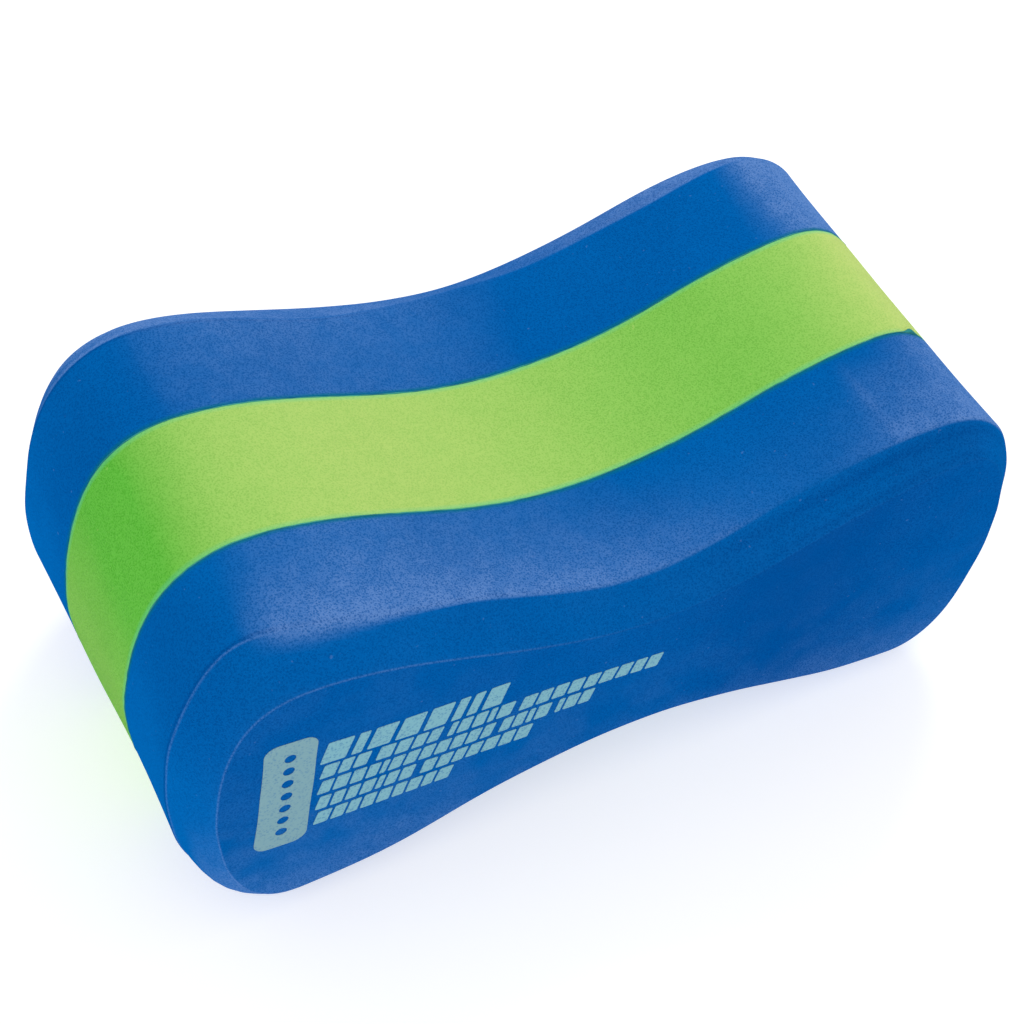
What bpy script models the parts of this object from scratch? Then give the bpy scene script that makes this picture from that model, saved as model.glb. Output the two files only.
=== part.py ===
"""Pull buoy: three foam slabs bonded into a block with an hourglass outline, printed on its front face.

Frame: +X along the block towards its smaller lobe, +Y from the printed face to the rear face, +Z up.
The origin is the middle of the box that holds the block, on the ground under its two lower lobes.
"""
from math import atan2, cos, pi, sin

import bmesh
import bpy
from mathutils import Matrix, Vector
from mathutils.geometry import interpolate_bezier

# --- Driving dimensions, metres ---------------------------------------------------------------

# Foam slabs, through the block
SLAB_THICKNESS = 0.0388
GLUE_THICKNESS = 0.0004
TOUCHING_GAP = 0.0003  # between faces that are bonded or printed on
GLUE_INSET = 0.0015  # the bond stops this far inside the slabs' outline

# Hourglass outline, measured from the narrowest place of the waist
WAIST_HEIGHT = 0.0576
LARGE_LOBE = {"reach": 0.1207, "crown": 0.0910, "height": 0.1008}
SMALL_LOBE = {"reach": 0.1093, "crown": 0.0806, "height": 0.0950}
# Lengths of the curve handles that shape it: flat of the waist, both sides of the crown, the blunt end
LARGE_HANDLES = {"waist": 0.0353, "crown_in": 0.0275, "crown_out": 0.0265, "end": 0.0135}
SMALL_HANDLES = {"waist": 0.0327, "crown_in": 0.0263, "crown_out": 0.0240, "end": 0.0135}

# Outer slabs: the side stands out a little towards the ridge, and a bevel runs from ridge to face
RIDGE_FLARE = 0.0006
BEVEL_INSET = 0.0079
BEVEL_DEPTH = 0.0100
FRONT_BEVEL_LEAN = 0.025  # depth gained per metre towards the large lobe
REAR_BEVEL_LEAN = 0.0065
RIDGE_SOFTNESS = 0.0022
FACE_EDGE_SOFTNESS = 0.0010

# Print: a badge at the large lobe, then a heading and four lines that start beside it
INK_THICKNESS = 0.0002
PRINT_START = (-0.0880, 0.0035)  # left end of the lines and middle of the print, from the waist
PRINT_TURN = -0.062  # radians
BADGE_SIZE = (0.0134, 0.0430)
BADGE_GAP = 0.0020  # between badge and lines
BADGE_CORNER = 0.0036
HEADING_SIZE = (0.0468, 0.0078)
HEADING_RISE = 0.0123  # middle of the heading above the middle of the print
LINE_LENGTHS = (0.0910, 0.0730, 0.0565, 0.0360)
LINE_HEIGHT = 0.0050
LINE_PITCH = 0.0064
FIRST_LINE_RISE = 0.0048
LINE_CORNER = 0.0009

# Fineness of the curves
STEPS_PER_CURVE = 12
CORNER_STEPS = 4
SOFTNESS_STEPS = 2
ROUND_PROFILE = 0.5
SHARP_ANGLE = 0.6  # radians, above which an edge is shaded sharp

# --- Worked out from them ---------------------------------------------------------------------

BOND_GAP = GLUE_THICKNESS + 2 * TOUCHING_GAP
FOAM_DEPTH = 3 * SLAB_THICKNESS + 2 * BOND_GAP
PRINT_STANDOFF = TOUCHING_GAP + INK_THICKNESS
FRONT_FACE_Y = -(FOAM_DEPTH + PRINT_STANDOFF) / 2 + PRINT_STANDOFF  # the print is part of the depth
CENTRE_Y = FRONT_FACE_Y + FOAM_DEPTH / 2
# The two lobes differ in height, so the block leans by this angle to stand on both
LEAN = atan2((LARGE_LOBE["height"] - SMALL_LOBE["height"]) / 2, LARGE_LOBE["crown"] + SMALL_LOBE["crown"])

FOAM_BLUE = (0.004, 0.100, 0.402, 1.0)
FOAM_GREEN = (0.342, 0.630, 0.120, 1.0)
GLUE_TEAL = (0.010, 0.160, 0.240, 1.0)
INK_GREY = (0.210, 0.342, 0.380, 1.0)


def clear_scene():
    for item in list(bpy.data.objects):
        bpy.data.objects.remove(item, do_unlink=True)


def make_material(name, colour, roughness):
    material = bpy.data.materials.new(name)
    material.use_nodes = True
    shader = material.node_tree.nodes["Principled BSDF"]
    shader.inputs["Base Color"].default_value = colour
    shader.inputs["Roughness"].default_value = roughness
    shader.inputs["Metallic"].default_value = 0.0
    material.diffuse_color = colour
    return material


# --- Outline ----------------------------------------------------------------------------------


def upper_half(lobe, handles, side):
    """Points from the end of one lobe, over its crown, to the waist; side is +1 or -1 along X."""
    crown_z = lobe["height"] / 2
    end = Vector((lobe["reach"], 0))
    crown = Vector((lobe["crown"], crown_z))
    waist = Vector((0, WAIST_HEIGHT / 2))
    over_the_end = interpolate_bezier(
        end,
        end + Vector((0, handles["end"])),
        crown + Vector((handles["crown_out"], 0)),
        crown,
        STEPS_PER_CURVE + 1,
    )
    down_to_waist = interpolate_bezier(
        crown,
        crown - Vector((handles["crown_in"], 0)),
        waist + Vector((handles["waist"], 0)),
        waist,
        STEPS_PER_CURVE + 1,
    )
    return [Vector((side * p.x, p.y)) for p in over_the_end + down_to_waist[1:]]


def hourglass():
    """The slabs' outline in X and Z about the waist, counter-clockwise, level on its lower lobes."""
    small = upper_half(SMALL_LOBE, SMALL_HANDLES, 1)
    large = upper_half(LARGE_LOBE, LARGE_HANDLES, -1)
    upper = small + large[-2::-1]
    lower = [Vector((p.x, -p.y)) for p in upper[-2:0:-1]]
    level = Matrix.Rotation(-LEAN, 2)
    return [level @ p for p in upper + lower]


def grown(outline, distance):
    """The outline moved outwards by a distance, along the normal at each point."""
    points = []
    for i, point in enumerate(outline):
        along = (outline[(i + 1) % len(outline)] - outline[i - 1]).normalized()
        points.append(point + Vector((along.y, -along.x)) * distance)
    return points


def placement(outline):
    """Where the waist's centre goes, so that the ridge outline is centred and stands on the ground."""
    ridge = grown(outline, RIDGE_FLARE)
    xs = [p.x for p in ridge]
    return Vector((-(min(xs) + max(xs)) / 2, -min(p.y for p in ridge)))


# --- Solids -----------------------------------------------------------------------------------


def solid_from_rings(name, rings, material, soft_rings=(), softness=()):
    """A closed solid through rings of points (front first), its chosen rings rounded off."""
    bm = bmesh.new()
    loops = [[bm.verts.new(point) for point in ring] for ring in rings]
    count = len(loops[0])
    for front, back in zip(loops, loops[1:]):
        for i in range(count):
            j = (i + 1) % count
            bm.faces.new((front[i], front[j], back[j], back[i]))
    bm.faces.new(loops[0][::-1])
    bm.faces.new(loops[-1])
    bmesh.ops.recalc_face_normals(bm, faces=bm.faces)
    for ring, width in zip(soft_rings, softness):
        kept = set(loops[ring])
        edges = [e for e in bm.edges if e.verts[0] in kept and e.verts[1] in kept]
        bmesh.ops.bevel(
            bm,
            geom=edges,
            offset=width,
            segments=SOFTNESS_STEPS,
            profile=ROUND_PROFILE,
            affect="EDGES",
            clamp_overlap=True,
        )
    mesh = bpy.data.meshes.new(name)
    bm.to_mesh(mesh)
    bm.free()
    mesh.materials.append(material)
    mesh.shade_smooth()
    mesh.set_sharp_from_angle(angle=SHARP_ANGLE)
    piece = bpy.data.objects.new(name, mesh)
    bpy.context.scene.collection.objects.link(piece)
    return piece


def ring_at(outline, place, depth_at):
    """An outline as a ring in space; depth_at gives Y for a point's place along the block."""
    return [Vector((p.x + place.x, depth_at(p.x), p.y + place.y)) for p in outline]


def outer_slab(name, outline, place, face_y, inward, lean, material):
    """A blue slab: seam, flared ridge and face; inward is the Y direction from its face to the middle."""
    ridge = grown(outline, RIDGE_FLARE)
    seam_y = face_y + inward * SLAB_THICKNESS
    rings = [
        ring_at(grown(ridge, -BEVEL_INSET), place, lambda x: face_y),
        ring_at(ridge, place, lambda x: face_y + inward * (BEVEL_DEPTH - lean * x)),
        ring_at(outline, place, lambda x: seam_y),
    ]
    soft = ((0, FACE_EDGE_SOFTNESS), (1, RIDGE_SOFTNESS))
    return solid_from_rings(name, rings, material, [ring for ring, _ in soft], [width for _, width in soft])


def plate(name, outline, place, front_y, thickness, material):
    rings = [ring_at(outline, place, lambda x, y=y: y) for y in (front_y, front_y + thickness)]
    return solid_from_rings(name, rings, material)


def rounded_rectangle(centre, size, corner):
    """A rectangle with round corners, counter-clockwise in X and Z, about its own centre."""
    half = Vector(size) / 2
    radius = min(corner, half.x, half.y)
    points = []
    for quarter, (sx, sz) in enumerate(((1, 1), (-1, 1), (-1, -1), (1, -1))):
        middle = Vector((sx * (half.x - radius), sz * (half.y - radius)))
        for step in range(CORNER_STEPS + 1):
            angle = (quarter + step / CORNER_STEPS) * pi / 2
            points.append(Vector(centre) + middle + radius * Vector((cos(angle), sin(angle))))
    return points


def ink(name, centre, size, corner, place, material):
    """One printed area; centre is measured from the print's start, along and across its lines."""
    turn = Matrix.Rotation(PRINT_TURN, 2)
    outline = [Vector(PRINT_START) + turn @ p for p in rounded_rectangle(centre, size, corner)]
    return plate(name, outline, place, FRONT_FACE_Y - PRINT_STANDOFF, INK_THICKNESS, material)


# --- The pull buoy ----------------------------------------------------------------------------


def build_foam(outline, place):
    blue = make_material("blue_foam", FOAM_BLUE, 0.75)
    green = make_material("green_foam", FOAM_GREEN, 0.78)
    rear_face_y = FRONT_FACE_Y + FOAM_DEPTH
    centre_y = CENTRE_Y - SLAB_THICKNESS / 2
    outer_slab("front_foam_layer", outline, place, FRONT_FACE_Y, 1, FRONT_BEVEL_LEAN, blue)
    plate("centre_foam_layer", outline, place, centre_y, SLAB_THICKNESS, green)
    outer_slab("rear_foam_layer", outline, place, rear_face_y, -1, REAR_BEVEL_LEAN, blue)


def build_bonds(outline, place):
    glue = make_material("glue", GLUE_TEAL, 0.45)
    film = grown(outline, -GLUE_INSET)
    to_film = SLAB_THICKNESS / 2 + TOUCHING_GAP
    plate("front_glue_film", film, place, CENTRE_Y - to_film - GLUE_THICKNESS, GLUE_THICKNESS, glue)
    plate("rear_glue_film", film, place, CENTRE_Y + to_film, GLUE_THICKNESS, glue)


def build_print(place):
    grey = make_material("print_ink", INK_GREY, 0.55)
    badge_x = -BADGE_GAP - BADGE_SIZE[0] / 2
    ink("printed_badge", (badge_x, 0), BADGE_SIZE, BADGE_CORNER, place, grey)
    ink("printed_heading", (HEADING_SIZE[0] / 2, HEADING_RISE), HEADING_SIZE, LINE_CORNER, place, grey)
    for number, length in enumerate(LINE_LENGTHS):
        rise = FIRST_LINE_RISE - number * LINE_PITCH
        size = (length, LINE_HEIGHT)
        ink(f"printed_line_{number + 1}", (length / 2, rise), size, LINE_CORNER, place, grey)


def main():
    clear_scene()
    outline = hourglass()
    place = placement(outline)
    build_foam(outline, place)
    build_bonds(outline, place)
    build_print(place)


main()
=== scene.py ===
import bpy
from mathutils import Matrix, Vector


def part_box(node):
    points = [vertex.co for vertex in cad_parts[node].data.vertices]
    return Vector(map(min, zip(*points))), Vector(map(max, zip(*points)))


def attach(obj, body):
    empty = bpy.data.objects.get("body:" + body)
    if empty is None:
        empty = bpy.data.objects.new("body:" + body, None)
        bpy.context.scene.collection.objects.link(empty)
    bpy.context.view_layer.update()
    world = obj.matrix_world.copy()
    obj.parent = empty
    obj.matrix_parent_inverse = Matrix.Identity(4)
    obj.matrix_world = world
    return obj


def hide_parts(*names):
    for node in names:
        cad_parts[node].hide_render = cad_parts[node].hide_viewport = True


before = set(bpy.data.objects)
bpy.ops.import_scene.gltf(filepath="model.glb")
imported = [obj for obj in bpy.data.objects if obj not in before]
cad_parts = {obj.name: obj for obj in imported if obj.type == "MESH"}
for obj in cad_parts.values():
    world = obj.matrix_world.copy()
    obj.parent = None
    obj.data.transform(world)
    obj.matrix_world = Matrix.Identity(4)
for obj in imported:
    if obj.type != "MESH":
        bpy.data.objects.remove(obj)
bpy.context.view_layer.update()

import math

import bmesh
import bpy
import numpy as np
from mathutils import Matrix, Vector

scene = bpy.context.scene
print("frame loaded:", len(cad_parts), "CAD nodes")


# Hourglass outline, in metres, about the middle of the waist; the same handles as the CAD outline
hourglass = {
    "waistHeight": 0.0576,
    "large": {"reach": 0.1207, "crown": 0.0910, "height": 0.1008,
              "waistPull": 0.0353, "crownIn": 0.0275, "crownOut": 0.0265, "endPull": 0.0135},
    "small": {"reach": 0.1093, "crown": 0.0806, "height": 0.0950,
              "waistPull": 0.0327, "crownIn": 0.0263, "crownOut": 0.0240, "endPull": 0.0135},
    "halfColumns": 320,
}


def cubicArc(start, startPull, endPull, end, count=600):
    # four points blended by the cubic Bernstein weights of t, from 0 to 1
    t = np.linspace(0.0, 1.0, count)[:, None]
    return ((1 - t) ** 3 * start + 3 * (1 - t) ** 2 * t * startPull
            + 3 * (1 - t) * t ** 2 * endPull + t ** 3 * end)


def overLobe(lobe, waistHeight, side):
    # one cubic arc from the blunt end up to the crown, one from the crown down to the waist
    end = np.array([lobe["reach"], 0.0])
    crown = np.array([lobe["crown"], lobe["height"] / 2])
    waist = np.array([0.0, waistHeight / 2])
    outwards, upwards = np.array([1.0, 0.0]), np.array([0.0, 1.0])
    rise = cubicArc(end, end + lobe["endPull"] * upwards, crown + lobe["crownOut"] * outwards, crown)
    fall = cubicArc(crown, crown - lobe["crownIn"] * outwards, waist + lobe["waistPull"] * outwards, waist)
    return np.concatenate([rise, fall[1:]]) * [side, 1.0]


def evenlySpaced(curve, count):
    # the length so far along the curve, read back at even lengths
    soFar = np.concatenate([[0.0], np.cumsum(np.linalg.norm(np.diff(curve, axis=0), axis=1))])
    even = np.linspace(0.0, soFar[-1], count)
    return np.stack([np.interp(even, soFar, curve[:, axis]) for axis in (0, 1)], axis=1)


def hourglassOutline(shape):
    # the upper half from the small lobe's end to the large lobe's, then its mirror image below
    small = overLobe(shape["small"], shape["waistHeight"], 1)
    large = overLobe(shape["large"], shape["waistHeight"], -1)
    upper = evenlySpaced(np.concatenate([small, large[-2::-1]]), shape["halfColumns"] + 1)
    return np.concatenate([upper, upper[-2:0:-1] * [1.0, -1.0]])


def outwardNormals(loop):
    # the direction from the point before to the point after, turned a quarter outwards
    along = np.roll(loop, -1, axis=0) - np.roll(loop, 1, axis=0)
    along /= np.linalg.norm(along, axis=1)[:, None]
    return np.stack([along[:, 1], -along[:, 0]], axis=1)


def turnMatrix(angle):
    # turns flat points anticlockwise by an angle
    return np.array([[math.cos(angle), -math.sin(angle)], [math.sin(angle), math.cos(angle)]])


outline = hourglassOutline(hourglass)
outwards = outwardNormals(outline)
columns = len(outline)
blockLean = -math.atan2((hourglass["large"]["height"] - hourglass["small"]["height"]) / 2,
                        hourglass["large"]["crown"] + hourglass["small"]["crown"])
lowCentre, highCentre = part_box("centre_foam_layer")
levelled = outline @ turnMatrix(blockLean).T
waistPlace = np.array([lowCentre.x - levelled[:, 0].min(), lowCentre.z - levelled[:, 1].min()])


def inBlock(flat, depth):
    # a flat point is turned by the block's lean and moved to the waist's place; depth becomes Y
    turned = flat @ turnMatrix(blockLean).T + waistPlace
    return np.stack([turned[..., 0], np.broadcast_to(depth, turned.shape[:-1]), turned[..., 1]], axis=-1)


# Hand-cut unevenness of the foam: each wave has a size, a length and a direction, in metres
cutWaves = {
    "size": np.array([0.00013, 0.00010, 0.00007, 0.00005]),
    "length": np.array([0.071, 0.043, 0.027, 0.016]),
    "direction": np.array([[0.8, 0.5, 0.3], [-0.3, 0.6, 0.7], [0.5, -0.7, 0.5], [0.6, 0.2, -0.8]]),
    "seed": 5,
}


def handCut(points, waves=cutWaves):
    # each wave is a sine of the place along its own direction, with another phase for X, Y and Z
    phases = np.random.default_rng(waves["seed"]).uniform(0, 2 * math.pi, (len(waves["size"]), 3))
    place = 2 * math.pi * (points @ waves["direction"].T) / waves["length"]
    return points + np.einsum("w,pwa->pa", waves["size"], np.sin(place[:, :, None] + phases))


def loopWobble(waveCounts, size, seed):
    # sines that fit a whole number of times round the outline, with seeded phases
    phases = np.random.default_rng(seed).uniform(0, 2 * math.pi, len(waveCounts))
    turn = 2 * math.pi * np.arange(columns) / columns
    return size * np.sin(np.outer(waveCounts, turn) + phases[:, None]).sum(axis=0) / math.sqrt(len(waveCounts))


def hump(place, middle, width):
    # a smooth bump that is 1 at its middle and falls off as a bell curve
    return np.exp(-((place - middle) / width) ** 2)


def smoothStep(low, high, value):
    # 0 below low, 1 above high, and 3t^2 - 2t^3 between them
    t = np.clip((value - low) / (high - low), 0.0, 1.0)
    return t * t * (3 - 2 * t)


def humps(place, entries):
    # bell curves added up; each has a middle, a width and a size
    return sum(size * hump(place, middle, width) for middle, width, size in entries)


# Where the cut wandered from the template, metres: middle along X, width, size outwards
cutWander = {
    "lowerLeftRear": [(-0.116, 0.020, 0.0009)],
    "rightFront": [(0.106, 0.016, 0.0007)],
    "upperSpan": (-0.016, 0.016),
    "rearSpan": (-0.03, 0.03),
}
upperShare = smoothStep(*cutWander["upperSpan"], outline[:, 1])


def onSlab(profileOut, y):
    # the outline pushed out by the profile and by the cut's wandering, which differs from front to rear
    rearShare = smoothStep(*cutWander["rearSpan"], y)
    wander = (humps(outline[:, 0], cutWander["lowerLeftRear"]) * (1 - upperShare) * rearShare
              + humps(outline[:, 0], cutWander["rightFront"]) * (1 - rearShare))
    return inBlock(outline + outwards * (profileOut + wander)[..., None], y)


def softCorner(before, corner, after, setback, steps):
    # quadratic blend through a corner, between the points a setback away along both of its sides
    start = corner + (before - corner) / np.linalg.norm(before - corner, axis=-1, keepdims=True) * setback
    end = corner + (after - corner) / np.linalg.norm(after - corner, axis=-1, keepdims=True) * setback
    t = np.linspace(0.0, 1.0, steps)[:, None, None]
    return (1 - t) ** 2 * start + 2 * (1 - t) * t * corner + t ** 2 * end


def straightRows(start, end, steps):
    # rows between two profile points, without the two ends
    t = np.linspace(0.0, 1.0, steps + 2)[1:-1, None, None]
    return (1 - t) * start + t * end


def closedLoft(name, rings, capRows, marks):
    # rings of points joined by quads; each end is closed by straight lines from the upper half to the lower
    rows, count = rings.shape[:2]
    half = count // 2
    points = [rings.reshape(-1, 3)]
    grid = np.arange(rows * count).reshape(rows, count)
    right = np.roll(grid, -1, axis=1)
    faces = np.stack([grid[:-1], right[:-1], right[1:], grid[1:]], axis=-1).reshape(-1, 4).tolist()
    filled = rows * count
    for ring in (0, rows - 1):
        ids = grid[ring]
        upper, lower = ids[:half + 1], np.concatenate([ids[:1], ids[:half - 1:-1]])
        weight = np.linspace(0.0, 1.0, capRows + 1)[1:-1, None, None]
        flat = rings[ring]
        across = (1 - weight) * flat[1:half] + weight * flat[:half:-1]
        cap = np.empty((capRows + 1, half + 1), int)
        cap[0], cap[-1], cap[:, 0], cap[:, -1] = upper, lower, ids[0], ids[half]
        cap[1:-1, 1:-1] = filled + np.arange((capRows - 1) * (half - 1)).reshape(capRows - 1, half - 1)
        filled += (capRows - 1) * (half - 1)
        points.append(across.reshape(-1, 3))
        quads = np.stack([cap[:-1, 1:-2], cap[:-1, 2:-1], cap[1:, 2:-1], cap[1:, 1:-2]], axis=-1)
        faces += quads.reshape(-1, 4).tolist()
        faces += np.stack([cap[:-1, 0], cap[:-1, 1], cap[1:, 1]], axis=-1).tolist()
        faces += np.stack([cap[:-1, -2], cap[:-1, -1], cap[1:, -2]], axis=-1).tolist()
    return solidPiece(name, handCut(np.concatenate(points)), faces, marks)


def solidPiece(name, points, faces, marks):
    # a mesh object with its faces turned outwards; marks are numbers kept on its first points
    mesh = bpy.data.meshes.new(name)
    mesh.from_pydata(points.tolist(), [], faces)
    shell = bmesh.new()
    shell.from_mesh(mesh)
    bmesh.ops.recalc_face_normals(shell, faces=shell.faces)
    shell.to_mesh(mesh)
    shell.free()
    mesh.shade_smooth()
    for mark, values in marks.items():
        whole = np.zeros(len(points))
        whole[:len(values)] = values
        mesh.attributes.new(mark, "FLOAT", "POINT").data.foreach_set("value", whole)
    piece = bpy.data.objects.new(name, mesh)
    scene.collection.objects.link(piece)
    return piece


# Seams: the two bonds wander a little, and their edges are cut a little ragged
seamCut = {
    "wander": {"front": loopWobble([3, 5, 8, 13], 0.00012, 11), "rear": loopWobble([2, 5, 9, 12], 0.00012, 12)},
    "ragged": {"front": loopWobble([61, 83, 117, 149, 171], 0.00003, 13),
               "rear": loopWobble([57, 89, 109, 143, 187], 0.00003, 14)},
    "bondWidth": 0.00030,
    "edgeSoftness": 0.00022,
    "edgeRows": 4,
    "hiddenInset": 0.0040,
    "stain": 0.00050,
}

# Outer slabs, metres; hump lists give a middle along X, a width and a size
outerSlab = {
    "flare": 0.0006,
    "bevelInset": 0.0079,
    "bevelDepth": 0.0100,
    "ridgeSoftness": 0.0011,
    "faceEdgeSoftness": 0.0005,
    "faceRing": 0.0030,
    "sideRows": 26,
    "ridgeAimRow": 3,
    "bevelRows": 6,
    "ridgeRows": 9,
    "faceEdgeRows": 6,
    "capRows": 26,
    "bulgeOut": 0.78,
    "bulgeForward": 0.62,
}
# Marks along the profile: widths and places from the ridge in metres, bevel shades as shares of the bevel
slabMarks = {
    "wearWidth": 0.00020,
    "ridgeWearAt": 0.0004,
    "unworn": 0.95,
    "unwornFrom": (-0.070, 0.010),
    "spill": 0.0009,
    "bevelShades": [(0.32, 0.16, 0.95), (0.60, 0.035, 0.35), (0.84, 0.045, 0.30)],
    "bevelFoot": 0.50,
    "footStart": (0.45, 1.0),
    "footEnd": (1.0, 1.04),
    "shadeAt": (0.060, 0.046),
    "ridgeShade": (-0.0003, 0.0004),
}
frontCut = {
    "lean": 0.025,
    "ridgeDepth": [(-0.104, 0.012, 0.0024), (-0.066, 0.016, -0.0016), (-0.003, 0.026, -0.0018),
                   (0.038, 0.012, 0.0006)],
    "softRidge": [(-0.074, 0.024, 0.0026)],
    "spill": [(-0.092, 0.022, 0.0050)],
    "faceUpper": [(-0.114, 0.014, 0.0010), (0.012, 0.026, -0.0017), (0.060, 0.018, -0.0021),
                  (0.098, 0.012, 0.0015)],
    "faceLower": [(-0.086, 0.020, -0.0013), (0.000, 0.038, 0.0022), (0.078, 0.020, -0.0015)],
    "bulgeUpper": [(-0.116, 0.020, 0.0006), (0.030, 0.060, -0.0004)],
    "bulgeLower": [(-0.108, 0.020, 0.0022), (0.095, 0.020, 0.0008)],
}
rearCut = {
    "lean": 0.0065,
    "ridgeDepth": [(-0.046, 0.016, 0.0016), (-0.002, 0.018, -0.0016), (0.054, 0.018, 0.0014)],
    "softRidge": [(0.0, 0.2, 0.0004)],
    "spill": [],
    "faceUpper": [(-0.104, 0.014, -0.0018), (-0.030, 0.040, 0.0006), (0.028, 0.018, 0.0009)],
    "faceLower": [(0.0, 0.060, 0.0006)],
    "bulgeUpper": [(-0.108, 0.018, 0.0012), (0.090, 0.020, 0.0005)],
    "bulgeLower": [(-0.108, 0.020, 0.0014), (0.095, 0.020, 0.0010)],
}


def slabWearAndPaintedLight(profile, edgeRow, ridgeRow, seamRow, cut, m=slabMarks):
    # bell curves and smooth steps of the distance along the profile, from the face's ring to the hidden one
    alongX = outline[:, 0]
    steps = np.linalg.norm(np.diff(profile, axis=0), axis=2)
    alongProfile = np.concatenate([np.zeros((1, columns)), np.cumsum(steps, axis=0)])
    edgeAlong, ridgeAlong, seamAlong = (alongProfile[row] for row in (edgeRow, ridgeRow, seamRow))
    pastRidge = ridgeAlong - alongProfile
    onBevel = np.maximum(pastRidge / (ridgeAlong - edgeAlong), 0.0)
    worn = 1 - m["unworn"] * smoothStep(*m["unwornFrom"], alongX)
    spillReach = m["spill"] + humps(alongX, cut["spill"]) * upperShare
    shades = humps(onBevel, m["bevelShades"])
    shades += m["bevelFoot"] * smoothStep(*m["footStart"], onBevel) * (1 - smoothStep(*m["footEnd"], onBevel))
    marks = {
        "faceWear": worn * hump(alongProfile, edgeAlong, m["wearWidth"]),
        "ridgeWear": worn * hump(pastRidge, m["ridgeWearAt"], m["wearWidth"]),
        # sideRise and spill shape the painted highlight towards and past the ridge
        "sideRise": np.clip(1 - (alongProfile - ridgeAlong) / (seamAlong - ridgeAlong), 0.0, 1.0),
        "spill": 1 - smoothStep(0.0, 1.0, pastRidge / spillReach),
        # painted shade: bands across the bevel and a dark line along the ridge's crease
        "shade": shades * hump(alongX, *m["shadeAt"]) * upperShare + worn * hump(pastRidge, *m["ridgeShade"]),
        "stain": hump(alongProfile, seamAlong, seamCut["stain"]),
    }
    return {mark: values.reshape(-1) for mark, values in marks.items()}


def outerSlabPiece(name, faceY, seamY, cut, seam, s=outerSlab):
    # profile of outward distance and depth behind the face: face edge, bevel, ridge, flared side, seam edge
    inward = 1.0 if seamY > faceY else -1.0
    thickness = abs(seamY - faceY)
    alongX = outline[:, 0]
    unit = np.ones(columns)
    depthHere = s["bevelDepth"] - cut["lean"] * alongX + humps(alongX, cut["ridgeDepth"])
    faceShift = humps(alongX, cut["faceUpper"]) * upperShare + humps(alongX, cut["faceLower"]) * (1 - upperShare)
    bulge = humps(alongX, cut["bulgeUpper"]) * upperShare + humps(alongX, cut["bulgeLower"]) * (1 - upperShare)
    faceEdge = np.stack([s["flare"] - s["bevelInset"] + faceShift, 0.0 * unit], axis=1)
    faceRing = faceEdge - [s["faceRing"], 0.0]
    ridge = np.stack([s["flare"] * unit, depthHere], axis=1)
    ridgeSoftness = s["ridgeSoftness"] + humps(alongX, cut["softRidge"]) * upperShare
    seamAt = thickness + inward * (seamCut["wander"][seam] + seamCut["ragged"][seam])
    seamEdge = np.stack([0.0 * unit, seamAt], axis=1)
    seamRing = seamEdge - [seamCut["hiddenInset"], 0.0]
    side = np.linspace(0.0, 1.0, s["sideRows"] + 2)[1:-1, None]
    sideDepth = (depthHere + ridgeSoftness) * (1 - side) + (seamAt - seamCut["edgeSoftness"]) * side
    sideOut = s["flare"] * ((seamAt - sideDepth) / (seamAt - depthHere)) ** 2
    sideRows = np.stack([sideOut, sideDepth], axis=-1)
    faceCorner = softCorner(faceRing, faceEdge, ridge, s["faceEdgeSoftness"], s["faceEdgeRows"])
    ridgeCorner = softCorner(faceEdge, ridge, sideRows[s["ridgeAimRow"]], ridgeSoftness[:, None], s["ridgeRows"])
    bevel = straightRows(faceCorner[-1], ridgeCorner[0], s["bevelRows"])
    arch = np.sin(np.pi * np.linspace(0, 1, s["bevelRows"] + 2)[1:-1])[:, None, None]
    bevel = bevel + arch * bulge[:, None] * np.array([s["bulgeOut"], -s["bulgeForward"]])
    seamCorner = softCorner(sideRows[-1], seamEdge, seamRing, seamCut["edgeSoftness"], seamCut["edgeRows"])
    parts = [faceRing[None], faceCorner, bevel, ridgeCorner, sideRows, seamCorner, seamRing[None]]
    profile = np.concatenate(parts)
    rings = onSlab(profile[..., 0], faceY + inward * profile[..., 1])
    firstOf = np.cumsum([0] + [len(part) for part in parts])
    edgeRow, ridgeRow = (firstOf[1] + firstOf[2]) // 2, (firstOf[3] + firstOf[4]) // 2
    return closedLoft(name, rings, s["capRows"], slabWearAndPaintedLight(profile, edgeRow, ridgeRow, firstOf[5], cut))


# Middle slab, metres
middleSlab = {"sideRows": 28, "capRows": 6}


def middleSlabPiece(name, frontY, rearY, s=middleSlab):
    # straight sides between two softened seam edges, which follow the two bonds
    unit = np.ones(columns)
    nick = glueBlob["nick"] * hump(np.arange(columns), glueBlob["column"], glueBlob["width"])
    front = np.stack([0.0 * unit, frontY + seamCut["wander"]["front"] + seamCut["ragged"]["front"] + nick], axis=1)
    rear = np.stack([0.0 * unit, rearY + seamCut["wander"]["rear"] + seamCut["ragged"]["rear"]], axis=1)
    inset = [seamCut["hiddenInset"], 0.0]
    frontCorner = softCorner(front - inset, front, rear, seamCut["edgeSoftness"], seamCut["edgeRows"])
    rearCorner = softCorner(front, rear, rear - inset, seamCut["edgeSoftness"], seamCut["edgeRows"])
    side = straightRows(frontCorner[-1], rearCorner[0], s["sideRows"])
    profile = np.concatenate([(front - inset)[None], frontCorner, side, rearCorner, (rear - inset)[None]])
    stain = hump(profile[..., 1], frontY, seamCut["stain"]) + hump(profile[..., 1], rearY, seamCut["stain"])
    return closedLoft(name, onSlab(profile[..., 0], profile[..., 1]), s["capRows"], {"stain": stain.reshape(-1)})


# Bond films, metres: the glue stops just inside the slabs and has crept out further in places
bondFilm = {"thickness": 0.00026, "inset": 0.00002, "creep": 0.00008, "creepWaves": [7, 17, 31, 53, 77, 131],
            "swell": 0.00005, "depth": 0.004, "capRows": 3, "seeds": {"front": 21, "rear": 22}}
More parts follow.
